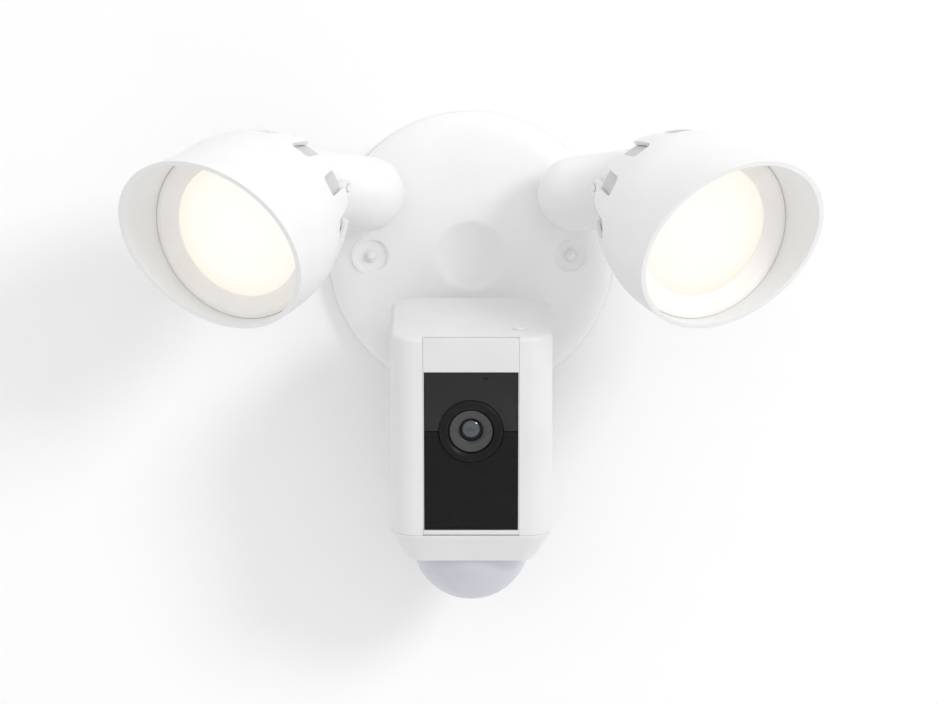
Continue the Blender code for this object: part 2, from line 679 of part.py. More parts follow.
def build_lamp(side, sign):
    base = (sign * ARM_BASE[0], 0.0, ARM_BASE[1])
    swivel = frame_empty(side + "_swivel", None, base)
    arm = build_arm(side, sign, swivel)
    build_arm_nut(side, swivel)
    turn = (math.radians(90) + HEAD_DOWN, 0, sign * HEAD_OUTWARD)
    head = frame_empty(side + "_head", swivel, mirrored(BALL_CENTRE, sign) - Vector(base), turn)
    reach = EAR_NEAR - GAP
    cut_by(arm, rod(side + "_pin_bore", PIN_RADIUS + GAP, (-reach, 0, 0), (reach, 0, 0), head, None, 16))
    build_lamp_shell(side, sign, head)
    build_lamp_front(side, head)
    build_lamp_rear(side, sign, head)


def build_camera():
    upright = (math.radians(90), 0, 0)
    pan = frame_empty("camera_pan_frame", None, CAMERA_BALL)
    liner_frame = frame_empty("liner_frame", pan, (0, 0, 0), upright)
    camera = frame_empty("camera_frame", pan, (0, 0, 0), (CAMERA_DOWN, 0, 0))
    axis = frame_empty("camera_axis", camera, (0, 0, 0), upright)
    lens_axis = frame_empty("lens_axis", camera, (0, 0, LENS_HEIGHT), upright)
    build_ball_joint(liner_frame, axis)
    build_housing(camera)
    build_front(camera, lens_axis)
    build_insides(camera)
    build_bottom(camera)
    build_rear(camera)
    button = frame_empty("button_frame", camera, (*BUTTON_PLACE, TOP))
    build_button(button)


PLATE = frame_empty("plate_frame", None, (0, 0, 0), (math.radians(90), 0, 0))
build_wall_plate(PLATE)
build_plate_parts(PLATE)
build_stem(PLATE)
for lamp_side, lamp_sign in SIDES:
    build_lamp(lamp_side, lamp_sign)
build_camera()
bpy.context.view_layer.update()
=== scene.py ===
"""Looks of the twin floodlight with a security camera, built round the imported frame.

Frame: the wall is the plane y = 0, the object stands out along -Y, +X is to the right of
someone facing it, +Z is up. All sizes are in metres.
"""

import json
import math

import bmesh
import bpy
from mathutils import Matrix, Vector


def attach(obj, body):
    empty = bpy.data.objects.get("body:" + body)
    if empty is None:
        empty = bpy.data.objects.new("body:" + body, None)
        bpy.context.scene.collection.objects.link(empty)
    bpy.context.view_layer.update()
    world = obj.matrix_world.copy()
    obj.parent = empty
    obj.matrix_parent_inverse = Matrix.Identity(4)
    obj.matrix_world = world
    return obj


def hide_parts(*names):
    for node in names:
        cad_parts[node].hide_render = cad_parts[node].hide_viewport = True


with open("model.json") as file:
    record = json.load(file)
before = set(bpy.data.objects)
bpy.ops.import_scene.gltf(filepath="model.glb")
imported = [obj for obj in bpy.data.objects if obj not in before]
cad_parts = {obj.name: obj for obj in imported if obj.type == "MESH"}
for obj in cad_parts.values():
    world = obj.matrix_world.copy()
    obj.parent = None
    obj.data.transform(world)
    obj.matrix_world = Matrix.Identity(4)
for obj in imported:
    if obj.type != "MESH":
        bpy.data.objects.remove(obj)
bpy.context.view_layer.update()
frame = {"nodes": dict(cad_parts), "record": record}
NODES = frame["nodes"]
JOINTS = {joint["name"]: joint for joint in frame["record"]["behaviour"]["joints"]}

# ------------------------------------------------------------------ sizes the design gives

HEAD_DOWN = math.radians(14)
CAMERA_DOWN = math.radians(9.6)
STUD_X = 0.04445
ARM_BASE = (0.0420, 0.0260)
ARM_START = (0.0460, -0.0345, 0.0295)
ARM_LEAVES = (0.94, -0.28, 0.18)
ARM_ARRIVES = (0.61, -0.76, 0.21)
ARM_RADIUS = 0.0165
ARM_BORE = 0.0074
STEM_BORE = 0.0049
STUD_HOLE = 0.0024
SEAT_GAP = 0.0006
PIN_HOLE = 0.0019
PIN_HOLE_REACH = 0.0172
EAR_RADIUS = 0.0036
EAR_NEAR = 0.0178
EAR_FAR = 0.0207
CLAMP_REACH = 57
CLAMP_LIP = 33
HOOD_MIDDLE = 0.0841
HOOD_SLANT = math.radians(19.6)
SHELL_WALL = 0.0022
NOTCHES = 12
NOTCH_TURN = math.radians(7.5)
NOTCH_HALF = 0.0047
NOTCH_TOP = 0.0415
HALF_WIDTH = 0.0350
FRONT = -0.0690
REAR = -0.0040
TOP = 0.0290
BODY_BOTTOM = -0.0598
SKIRT_BOTTOM = -0.0737
CORNER = 0.0115
WALL = 0.0024
LENS_HEIGHT = -0.0127
LENS_OPENING = 0.0141
LENS_DOME = 0.0070
PANEL_HALF = 0.0203
STRIP_HALF = 0.0207
PANEL_TOP = 0.0139
PANEL_BOTTOM = -0.0574
DOME_RADIUS = 0.0256
DOME_HOLE = 0.0242
DOME_WALL = 0.0013
FOOT_HALF = 0.0274
DOME_Y = -0.0350
STEM_BALL = 0.0090
STEM_NECK = 0.0046
SOCKET_SEAT = 0.0110
SOCKET_RADIUS = 0.0148
COLLAR_GRIPS = 24
GRIP_REACH = 0.0153
BUTTON = (0.0210, -0.0545)
BUTTON_HOLE = 0.00306
SIDES = (("left", -1), ("right", 1))

BALL = Vector(JOINTS["camera_tilt"]["pos_m"])
PLATE = Matrix.Rotation(math.radians(90), 4, "X")
CAMERA = Matrix.Translation(BALL) @ Matrix.Rotation(CAMERA_DOWN, 4, "X")
CAMERA_AXIS = CAMERA @ Matrix.Rotation(math.radians(90), 4, "X")
DOME_PLACE = CAMERA @ Matrix.Translation((0, DOME_Y, SKIRT_BOTTOM))


def head_matrix(side):
    """The lamp head's frame: origin at its tilt joint, +Z out of the lamp, +X to the right."""
    joint = JOINTS[side + "_head_tilt"]
    across = -Vector(joint["axis"]).normalized()
    outward = math.atan2(across.y, across.x)
    turn = Matrix.Rotation(outward, 4, "Z") @ Matrix.Rotation(math.radians(90) + HEAD_DOWN, 4, "X")
    return Matrix.Translation(Vector(joint["pos_m"])) @ turn


# ------------------------------------------------------------------ mesh tools


def object_from(name, data, matrix, material, smooth=35):
    made = bpy.data.objects.new(name, data)
    bpy.context.scene.collection.objects.link(made)
    made.matrix_world = matrix
    if material:
        data.materials.clear()
        data.materials.append(material)
    data.shade_smooth()
    data.set_sharp_from_angle(angle=math.radians(smooth))
    return made


def mesh_by(name, build):
    shape = bmesh.new()
    build(shape)
    bmesh.ops.recalc_face_normals(shape, faces=shape.faces)
    data = bpy.data.meshes.new(name)
    shape.to_mesh(data)
    shape.free()
    return data


def filleted(points, radius, steps=4, closed=True):
    """The outline with its corners rounded, never by more than 45% of a side."""
    count = len(points)
    out = []
    for at, point in enumerate(points):
        here = Vector(point)
        if not closed and at in (0, count - 1):
            out.append(tuple(here))
            continue
        before, after = Vector(points[at - 1]), Vector(points[(at + 1) % count])
        to_before, to_after = before - here, after - here
        room = 0.45 * min(to_before.length, to_after.length)
        cosine = max(-1.0, min(1.0, to_before.normalized().dot(to_after.normalized())))
        bend = math.pi - math.acos(cosine)
        if bend < math.radians(12):
            out.append(tuple(here))
            continue
        reach = min(room, radius * math.tan(bend / 2))
        start = here + to_before.normalized() * reach
        end = here + to_after.normalized() * reach
        for step in range(steps + 1):
            t = step / steps
            spot = start * (1 - t) ** 2 + here * 2 * t * (1 - t) + end * t * t
            out.append(tuple(spot))
    return out


def smoothed(points, steps=6):
    """A Catmull-Rom curve through profile points."""
    out = []
    padded = [points[0]] + list(points) + [points[-1]]
    for at in range(len(points) - 1):
        a, b, c, d = (Vector(point) for point in padded[at:at + 4])
        for step in range(steps):
            t = step / steps
            spot = 0.5 * (
                2 * b + (c - a) * t + (2 * a - 5 * b + 4 * c - d) * t * t + (3 * b - a - 3 * c + d) * t ** 3
            )
            out.append((max(spot.x, 0.0), spot.y))
    out.append(tuple(points[-1]))
    return out


def turned_mesh(name, profile, steps=96, closed=True):
    """A profile of (radius, height) turned about Z; points on the axis become one vertex."""

    def build(shape):
        columns = []
        for radius, height in profile:
            if radius < 1e-6:
                columns.append([shape.verts.new((0, 0, height))] * steps)
                continue
            ring = []
            for at in range(steps):
                angle = 2 * math.pi * at / steps
                ring.append(shape.verts.new((radius * math.cos(angle), radius * math.sin(angle), height)))
            columns.append(ring)
        pairs = list(zip(columns, columns[1:]))
        if closed:
            pairs.append((columns[-1], columns[0]))
        for lower, upper in pairs:
            for at in range(steps):
                after = (at + 1) % steps
                corners = []
                for vert in (lower[at], lower[after], upper[after], upper[at]):
                    if vert not in corners:
                        corners.append(vert)
                if len(corners) > 2:
                    shape.faces.new(corners)

    return mesh_by(name, build)


def turned(name, profile, matrix, material, steps=96, closed=True):
    return object_from(name, turned_mesh(name, profile, steps, closed), matrix, material)


def arc(radius, first, last, steps, centre=0.0):
    """Profile points round a centre on the axis; the angles are in degrees from straight up."""
    points = []
    for at in range(steps + 1):
        angle = math.radians(first + (last - first) * at / steps)
        points.append((radius * math.sin(angle), centre + radius * math.cos(angle)))
    return points


def outline_ring(half_x, low_y, high_y, corner, height, steps):
    """A rectangle with round corners, as points at one height."""
    centres = (
        (half_x - corner, high_y - corner, 0),
        (corner - half_x, high_y - corner, 90),
        (corner - half_x, low_y + corner, 180),
        (half_x - corner, low_y + corner, 270),
    )
    ring = []
    for x, y, start in centres:
        for at in range(steps + 1):
            angle = math.radians(start + 90 * at / steps)
            ring.append((x + corner * math.cos(angle), y + corner * math.sin(angle), height))
    return ring


def lofted(name, rings, matrix, material, smooth=30):
    """A closed body through rings that have the same number of points."""

    def build(shape):
        rows = [[shape.verts.new(point) for point in ring] for ring in rings]
        for lower, upper in zip(rows, rows[1:]):
            for at in range(len(lower)):
                after = (at + 1) % len(lower)
                shape.faces.new((lower[at], lower[after], upper[after], upper[at]))
        shape.faces.new(rows[0])
        shape.faces.new(list(reversed(rows[-1])))

    return object_from(name, mesh_by(name, build), matrix, material, smooth)


def boxed(name, low, high, matrix, material, edge=0.0003, segments=2):
    """A box between two corners with rounded edges."""
    low, high = Vector(low), Vector(high)

    def build(shape):
        place = Matrix.Translation((low + high) / 2) @ Matrix.Diagonal((*(high - low), 1.0))
        bmesh.ops.create_cube(shape, size=1.0, matrix=place)
        if edge:
            bmesh.ops.bevel(
                shape,
                geom=list(shape.edges),
                offset=edge,
                segments=segments,
                profile=0.5,
                affect="EDGES",
                clamp_overlap=True,
            )

    return object_from(name, mesh_by(name, build), matrix, material)


def bar(name, radius, start, end, matrix, material=None, sides=48):
    """A round bar between two points."""
    start, end = Vector(start), Vector(end)
    along = end - start
    turn = Matrix.Translation((start + end) / 2) @ along.to_track_quat("Z", "Y").to_matrix().to_4x4()

    def build(shape):
        bmesh.ops.create_cone(
            shape,
            cap_ends=True,
            segments=sides,
            radius1=radius,
            radius2=radius,
            depth=along.length,
            matrix=turn,
        )

    return object_from(name, mesh_by(name, build), matrix, material)


def settle(obj):
    """Bakes the object's modifiers into its mesh."""
    bpy.context.view_layer.update()
    graph = bpy.context.evaluated_depsgraph_get()
    data = bpy.data.meshes.new_from_object(obj.evaluated_get(graph))
    obj.modifiers.clear()
    obj.data = data


def combine(obj, others, operation):
    """Joins the other objects to this one, or cuts it with them, and removes them."""
    for other in others:
        change = obj.modifiers.new(operation.lower(), "BOOLEAN")
        change.object = other
        change.operation = operation
        change.solver = "EXACT"
    settle(obj)
    for other in others:
        bpy.data.objects.remove(other, do_unlink=True)
    obj.data.shade_smooth()
    obj.data.set_sharp_from_angle(angle=math.radians(30))


def softened(obj, width, segments=2, angle=32):
    """Small rounds on the sharp edges."""
    bevel = obj.modifiers.new("soft_edges", "BEVEL")
    bevel.width = width
    bevel.segments = segments
    bevel.limit_method = "ANGLE"
    bevel.angle_limit = math.radians(angle)
    bevel.use_clamp_overlap = True
    settle(obj)
    obj.data.shade_smooth()
    obj.data.set_sharp_from_angle(angle=math.radians(40))


def joined(name, objects):
    """Several loose solids of one piece made one object."""
    first = objects[0]
    shape = bmesh.new()
    for other in objects:
        data = other.data.copy()
        data.transform(first.matrix_world.inverted() @ other.matrix_world)
        shape.from_mesh(data)
        bpy.data.meshes.remove(data)
    data = bpy.data.meshes.new(name)
    shape.to_mesh(data)
    shape.free()
    made = object_from(name, data, first.matrix_world.copy(), first.data.materials[0])
    for other in objects:
        bpy.data.objects.remove(other, do_unlink=True)
    return made


def settled_on(obj, body, slot, *nodes):
    """Rides the piece on its body and hides the plain solids it stands for."""
    if obj.data.materials[0] not in CENTRED:
        obj.data.transform(obj.matrix_world)
        obj.matrix_world = Matrix.Identity(4)
    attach(obj, body)
    if nodes:
        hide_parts(*nodes)


def on_plate(x, y):
    """The plate's frame moved to a place on it, +Z out of the wall."""
    return PLATE @ Matrix.Translation((x, y, 0))


def crossed(name, half, narrow, low, high, matrix):
    """Two crossed bars that cut a driver's recess into a screw head."""
    return [
        boxed(f"{name}_{at}", (-half, -narrow, low), (half, narrow, high),
              matrix @ Matrix.Rotation(math.pi / 2 * at, 4, "Z"), None, 0)
        for at in range(2)
    ]


# ------------------------------------------------------------------ materials

LENS_GLOW = 0.98
# Strength of the bezel's painted glow of lamplight.
BEZEL_PAINTED_GLOW = 0.07
LENS_EDGE = 0.0313
FRONT_GLASS_EDGE = 0.0046
GRILLE_PITCH = 0.00082
ROW_SHARE = 0.866
DOME_RINGS = 5200


class Nodes:
    """A material's node tree with short ways to add to it."""

    def __init__(self, name, roughness=0.5, metallic=0.0):
        self.material = bpy.data.materials.new(name)
        self.material.use_nodes = True
        self.tree = self.material.node_tree
        self.shader = self.tree.nodes["Principled BSDF"]
        self.shader.inputs["Roughness"].default_value = roughness
        self.shader.inputs["Metallic"].default_value = metallic
        self.place = self.add("ShaderNodeTexCoord").outputs["Object"]

    def add(self, kind, **settings):
        node = self.tree.nodes.new(kind)
        for key, value in settings.items():
            setattr(node, key, value)
        return node

    def link(self, start, end):
        self.tree.links.new(start, end)

    def noise(self, scale, detail=2.0, rough=0.5):
        node = self.add("ShaderNodeTexNoise")
        node.inputs["Scale"].default_value = scale
        node.inputs["Detail"].default_value = detail
        node.inputs["Roughness"].default_value = rough
        self.link(self.place, node.inputs["Vector"])
        return node.outputs["Fac"]

    def math(self, operation, first, second=0.0):
        node = self.add("ShaderNodeMath", operation=operation)
        for socket, value in zip(node.inputs, (first, second)):
            if isinstance(value, (int, float)):
                socket.default_value = value
            else:
                self.link(value, socket)
        return node.outputs[0]

    def spread(self, value, low, high, to_low, to_high):
        node = self.add("ShaderNodeMapRange")
        self.link(value, node.inputs["Value"])
        for key, number in (("From Min", low), ("From Max", high), ("To Min", to_low), ("To Max", to_high)):
            node.inputs[key].default_value = number
        return node.outputs["Result"]

    def ramp(self, value, stops):
        node = self.add("ShaderNodeValToRGB")
        while len(node.color_ramp.elements) < len(stops):
            node.color_ramp.elements.new(0.5)
        for element, (position, colour) in zip(node.color_ramp.elements, stops):
            element.position = position
            element.color = (*colour, 1.0)
        self.link(value, node.inputs["Fac"])
        return node.outputs["Color"]

    def split(self):
        node = self.add("ShaderNodeSeparateXYZ")
        self.link(self.place, node.inputs[0])
        return node.outputs

    def length(self, first, second):
        squares = self.math("ADD", self.math("MULTIPLY", first, first), self.math("MULTIPLY", second, second))
        return self.math("SQRT", squares)

    def off_axis(self, reach):
        """Distance from the piece's own Z axis, as a share of the reach."""
        across, along = self.split()[:2]
        return self.math("DIVIDE", self.length(across, along), reach)

    def bump(self, height, distance, strength=1.0, under=None):
        node = self.add("ShaderNodeBump")
        node.inputs["Distance"].default_value = distance
        node.inputs["Strength"].default_value = strength
        self.link(height, node.inputs["Height"])
        if under is not None:
            self.link(under, node.inputs["Normal"])
        return node.outputs["Normal"]

    def colour(self, socket):
        self.link(socket, self.shader.inputs["Base Color"])

    def roughness(self, socket):
        self.link(socket, self.shader.inputs["Roughness"])

    def normal(self, socket):
        self.link(socket, self.shader.inputs["Normal"])


def moulded(name, dark, light, rough=(0.36, 0.5), grain=2600, depth=0.00002, shine=0.5):
    """Moulded plastic: fine texture from the tool, slight flow marks in tone and gloss."""
    made = Nodes(name)
    flow = made.noise(38, 3)
    fine = made.noise(grain, 2, 0.6)
    made.colour(made.ramp(flow, [(0.3, dark), (0.7, light)]))
    both = made.math("ADD", made.math("MULTIPLY", flow, 0.6), made.math("MULTIPLY", fine, 0.4))
    made.roughness(made.spread(both, 0.3, 0.7, *rough))
    made.normal(made.bump(fine, depth, 0.5))
    made.shader.inputs["Specular IOR Level"].default_value = shine
    return made.material


def metal(name, dark, light, rough=(0.25, 0.45), grain=900):
    """Plated or cast metal with a faint directional grain."""
    made = Nodes(name, metallic=1.0)
    grainy = made.noise(grain, 4, 0.65)
    broad = made.noise(60, 3)
    made.colour(made.ramp(broad, [(0.3, dark), (0.7, light)]))
    made.roughness(made.spread(grainy, 0.3, 0.7, *rough))
    made.normal(made.bump(grainy, 0.00003, 0.4))
    return made.material


def powder_coat(name, dark, light):
    """Powder-coated die casting: a fine orange-peel surface."""
    made = Nodes(name)
    peel = made.noise(900, 2, 0.45)
    fine = made.noise(4200, 1)
    broad = made.noise(45, 2)
    made.colour(made.ramp(broad, [(0.3, dark), (0.7, light)]))
    made.roughness(made.spread(peel, 0.3, 0.7, 0.4, 0.55))
    made.normal(made.bump(fine, 0.00001, 0.3, made.bump(peel, 0.00006, 0.5)))
    return made.material


def board_finish():
    """Solder mask with copper traces and pads showing through it."""
    made = Nodes("circuit_board_finish")
    brick = made.add("ShaderNodeTexBrick")
    made.link(made.place, brick.inputs["Vector"])
    brick.inputs["Scale"].default_value = 260
    brick.inputs["Color1"].default_value = (0.012, 0.09, 0.035, 1)
    brick.inputs["Color2"].default_value = (0.02, 0.13, 0.05, 1)
    brick.inputs["Mortar"].default_value = (0.05, 0.22, 0.09, 1)
    brick.inputs["Mortar Size"].default_value = 0.03
    made.colour(brick.outputs["Color"])
    made.roughness(made.spread(made.noise(500), 0.3, 0.7, 0.28, 0.42))
    made.normal(made.bump(brick.outputs["Fac"], 0.00003, 0.5))
    return made.material


def glow_finish():
    """Lit diffuser: brightest in the middle, warmer to its edge, with a fine frosting."""
    made = Nodes("lit_diffuser", 0.45)
    share = made.off_axis(LENS_EDGE)
    made.colour(made.ramp(share, [(0.0, (0.04, 0.039, 0.037)), (1.0, (0.036, 0.034, 0.030))]))
    glow = made.ramp(share, [(0.0, (1.0, 0.99, 0.95)), (0.7, (1.0, 0.97, 0.90)), (1.0, (0.95, 0.89, 0.79))])
    made.link(glow, made.shader.inputs["Emission Color"])
    made.shader.inputs["Emission Strength"].default_value = LENS_GLOW
    made.normal(made.bump(made.noise(1500, 2), 0.00005, 0.4))
    return made.material


def bezel_finish():
    """Smooth white reflector with a faint warm emission: painted light standing in for the lamp's glow on it.
    """
    made = Nodes("bezel_finish")
    tone = made.noise(60, 2)
    made.colour(made.ramp(tone, [(0.3, (0.86, 0.84, 0.81)), (0.7, (0.90, 0.88, 0.85))]))
    # Painted light: a faint warm emission that stands in for the lamp's light falling on the reflector.
    made.shader.inputs["Emission Color"].default_value = (1.0, 0.96, 0.88, 1.0)
    made.shader.inputs["Emission Strength"].default_value = BEZEL_PAINTED_GLOW
    made.roughness(made.spread(made.noise(1200), 0.3, 0.7, 0.34, 0.46))
    made.normal(made.bump(made.noise(2600, 2), 0.00001, 0.3))
    return made.material


def grille_finish():
    """Black speaker cloth of fine round holes in staggered rows."""
    made = Nodes("speaker_grille_finish")
    x, _, z = made.split()
    across = made.math("DIVIDE", x, GRILLE_PITCH)
    up = made.math("DIVIDE", z, GRILLE_PITCH * ROW_SHARE)
    row = made.math("FLOOR", up)
    odd = made.math("MULTIPLY", made.math("MODULO", made.math("ABSOLUTE", row), 2.0), 0.5)
    in_x = made.math("SUBTRACT", made.math("FRACT", made.math("ADD", across, odd)), 0.5)
    in_z = made.math("MULTIPLY", made.math("SUBTRACT", made.math("FRACT", up), 0.5), ROW_SHARE)
    hole = made.spread(made.length(in_x, in_z), 0.22, 0.32, 0.0, 1.0)
    made.colour(made.ramp(hole, [(0.0, (0.001, 0.001, 0.001)), (1.0, (0.008, 0.008, 0.008))]))
    made.roughness(made.spread(hole, 0, 1, 0.9, 0.42))
    made.normal(made.bump(hole, 0.0002, 0.6))
    made.shader.inputs["Specular IOR Level"].default_value = 0.2
    return made.material


def gloss_black_finish():
    """Smoked gloss panel with the faintest moulding ripple."""
    made = Nodes("gloss_black_finish")
    ripple = made.noise(120, 2)
    made.colour(made.ramp(ripple, [(0.3, (0.002, 0.002, 0.002)), (0.7, (0.004, 0.004, 0.004))]))
    made.roughness(made.spread(made.noise(700, 3), 0.3, 0.7, 0.13, 0.24))
    made.normal(made.bump(ripple, 0.00002, 0.3))
    return made.material


def lens_glass_finish():
    """Coated front element, violet and green at its edge."""
    made = Nodes("lens_glass_finish")
    stops = [(0.0, (0.012, 0.02, 0.018)), (0.55, (0.03, 0.045, 0.045)), (1.0, (0.02, 0.015, 0.04))]
    made.colour(made.ramp(made.off_axis(FRONT_GLASS_EDGE), stops))
    made.shader.inputs["Coat Weight"].default_value = 1.0
    made.shader.inputs["Coat Roughness"].default_value = 0.02
    made.shader.inputs["IOR"].default_value = 1.6
    made.roughness(made.spread(made.noise(300), 0.3, 0.7, 0.02, 0.05))
    return made.material


def dome_finish():
    """Frosted polyethylene window: milky, slightly cool, with moulded lens rings inside."""
    made = Nodes("motion_dome_finish")
    rings = made.math("SINE", made.math("MULTIPLY", made.split()["Z"], DOME_RINGS))
    tone = made.noise(70, 2)
    made.colour(made.ramp(tone, [(0.3, (0.60, 0.605, 0.66)), (0.7, (0.635, 0.64, 0.69))]))
    made.shader.inputs["Subsurface Weight"].default_value = 0.35
    made.shader.inputs["Subsurface Scale"].default_value = 0.004
    made.roughness(made.spread(made.noise(900, 2), 0.3, 0.7, 0.33, 0.45))
    made.normal(made.bump(made.noise(3000, 2), 0.00001, 0.3, made.bump(rings, 0.00001, 0.25)))
    return made.material


def rubber_finish():
    """Dull black rubber with a little dust in it."""
    made = Nodes("rubber_finish")
    dust = made.noise(400, 3, 0.6)
    made.colour(made.ramp(dust, [(0.35, (0.02, 0.02, 0.02)), (0.75, (0.05, 0.05, 0.048))]))
    made.roughness(made.spread(dust, 0.3, 0.7, 0.72, 0.92))
    made.normal(made.bump(made.noise(1800, 2), 0.00004, 0.5))
    return made.material


WHITE = moulded("white_plastic_finish", (0.84, 0.84, 0.84), (0.87, 0.87, 0.868))
# A lighter copy of the white plastic for the plate only: painted light on the plate, which lies in the
# camera's and lamps' shade.
PLATE_LIT_WHITE = moulded("plate_lit_white_finish", (0.88, 0.88, 0.88), (0.91, 0.91, 0.908))
# A darker copy of the white plastic for the camera's housing, skirt and button: painted shade.
CAMERA_SHADED_WHITE = moulded("camera_shaded_white_finish", (0.755, 0.755, 0.755), (0.785, 0.785, 0.783))
WHITE_SMOOTH = moulded(
    "white_strip_finish", (0.735, 0.735, 0.735), (0.765, 0.765, 0.765), (0.3, 0.4), 3400, 0.00001
)
NYLON = moulded("nylon_finish", (0.62, 0.6, 0.55), (0.7, 0.68, 0.63), (0.4, 0.55), 1800)
BLACK = moulded("black_plastic_finish", (0.012, 0.012, 0.013), (0.022, 0.022, 0.023), (0.32, 0.48), 2200)
RING_BLACK = moulded(
    "lens_ring_finish", (0.004, 0.004, 0.005), (0.008, 0.008, 0.009), (0.3, 0.4), 2600, 0.00001, 0.2
)
LENS_GREY = moulded("lens_grey_finish", (0.043, 0.045, 0.044), (0.054, 0.056, 0.055), (0.35, 0.5), 2600)
STEEL = metal("zinc_plate_finish", (0.50, 0.51, 0.52), (0.62, 0.63, 0.64))
COATED = powder_coat("powder_coat_finish", (0.82, 0.82, 0.82), (0.86, 0.86, 0.855))
# Grey coat of the heat sink, darker than the white metal round it: partly its own light grey, partly painted
# shade of the notches it shows through.
SINK_GREY_AND_SHADE = powder_coat("heat_sink_grey_and_shade_finish", (0.58, 0.58, 0.58), (0.63, 0.63, 0.625))
RUBBER = rubber_finish()
BOARD = board_finish()
GLOW = glow_finish()
BEZEL = bezel_finish()
GRILLE = grille_finish()
GLOSS_BLACK = gloss_black_finish()
LENS_GLASS = lens_glass_finish()
DOME = dome_finish()

# Finishes drawn round their piece's own middle, which keeps its own frame
CENTRED = (GLOW, GRILLE, LENS_GLASS, DOME)

FINISHES = {
    "white_plastic": WHITE,
    "black_plastic": BLACK,
    "black_gloss": GLOSS_BLACK,
    "lens_glass": LENS_GLASS,
    "grey_metal": STEEL,
    "white_metal": COATED,
    "rubber": RUBBER,
    "diffuser": GLOW,
    "circuit_board": BOARD,
    "dome_plastic": DOME,
    "reflector": BEZEL,
    "nylon": NYLON,
}


def finish_cad_nodes():
    """Every CAD node that stays gets the finish of its slot."""
    slots = {part["node"]: part["material_slot"] for part in frame["record"]["subparts"]}
    for name, obj in NODES.items():
        finish = FINISHES[slots[name]]
        obj.data.materials.clear()
        obj.data.materials.append(finish)


finish_cad_nodes()

# ------------------------------------------------------------------ wall plate


def build_plate():
    """The cover with its centre dimple, the arms' and stem's bosses, and the nuts' recesses."""
    outer = smoothed([(0.0, 0.0098), (0.0060, 0.01025), (0.0110, 0.01165), (0.0146, 0.0134)], 6)
    outer += [(0.0150, 0.01362), (0.0156, 0.01385), (0.0164, 0.01397), (0.0175, 0.0140)]
    slope = [(0.0260, 0.0139), (0.0400, 0.0132), (0.0500, 0.0120), (0.0560, 0.0106), (0.0600, 0.0086),
             (0.0625, 0.0062), (0.0634, 0.0035)]
    outer += smoothed(slope, 6)
    outer += [(0.0635, 0.0020), (0.0635, 0.0003), (0.0632, 0.0)]
    inner = [(0.0613, 0.0), (0.0611, 0.0003), (0.0611, 0.0030)]
    inner += [(0.0565, 0.0068), (0.0480, 0.0096), (0.0186, 0.0112), (0.0105, 0.0090), (0.0, 0.0076)]
    plate = turned("plate_cover", outer + inner, PLATE, PLATE_LIT_WHITE, 192, closed=False)
    bosses, cuts = [], []
    for side, sign in SIDES:
        x, y = sign * ARM_BASE[0], ARM_BASE[1]
        boss = [(0.0, 0.0085), (0.0108, 0.0085), (0.0108, 0.0112), (0.0103, 0.0124), (0.0099, 0.0138),
                (0.0098, 0.0153), (0.0096, 0.0158), (0.0092, 0.0160), (0.0, 0.0160)]
        bosses.append(turned(side + "_boss", boss, on_plate(x, y), None, 72, False))
        cuts.append(bar(side + "_bore", ARM_BORE, (x, y, 0), (x, y, 0.03), PLATE))
        stud = sign * STUD_X
        pad = [(0.0, 0.0065), (0.0086, 0.0065), (0.0086, 0.0125), (0.0, 0.0125)]
        bosses.append(turned(side + "_pad", pad, on_plate(stud, 0), None, 48, False))
        recess = [(0.0, 0.0118), (0.0064, 0.0118), (0.0067, 0.0119), (0.0068, 0.0122), (0.0069, 0.0125),
                  (0.0073, 0.0129), (0.0082, 0.0135), (0.0082, 0.02), (0.0, 0.02)]
        cuts.append(turned(side + "_recess", recess, on_plate(stud, 0), None, 72, False))
        cuts.append(bar(side + "_stud_hole", STUD_HOLE, (stud, 0, 0), (stud, 0, 0.0125), PLATE))
    height = BALL.z
    boss = [(0.0, 0.0090), (0.0128, 0.0090), (0.0128, 0.0120), (0.0120, 0.0128), (0.0116, 0.0142),
            (0.0115, 0.0153), (0.0112, 0.0158), (0.0108, 0.0160), (0.0, 0.0160)]
    bosses.append(turned("stem_boss", boss, on_plate(0, height), None, 72, False))
    cuts.append(bar("stem_bore", STEM_BORE, (0, height, 0), (0, height, 0.03), PLATE))
    combine(plate, bosses, "UNION")
    combine(plate, cuts, "DIFFERENCE")
    settled_on(plate, "root", "white_plastic", "wall_plate")


def build_cap_nuts():
    crown = [(0.0, 0.0152), (0.0012, 0.0150), (0.0019, 0.0142), (0.0022, 0.0130), (0.0022, 0.0124)]
    profile = filleted(crown, 0.0003, 3, False) + [(0.0022, 0.0122), (0.0, 0.0122)]
    for side, sign in SIDES:
        place = on_plate(sign * STUD_X, 0)
        nut = turned(side + "_dome_nut", profile, place, COATED, 48, False)
        washer = [(0.0032, 0.0118), (0.0032, 0.0122), (0.0030, 0.0124), (0.0020, 0.0124), (0.0020, 0.0118)]
        ring = turned(side + "_nut_washer", filleted(washer, 0.0001), place, COATED, 48)
        whole = joined(side + "_cap_nut_detail", [nut, ring])
        settled_on(whole, "root", "white_metal", side + "_cap_nut")


build_plate()
build_cap_nuts()

# ------------------------------------------------------------------ lamp arms


def mirrored(point, sign):
    return Vector((sign * point[0], point[1], point[2]))


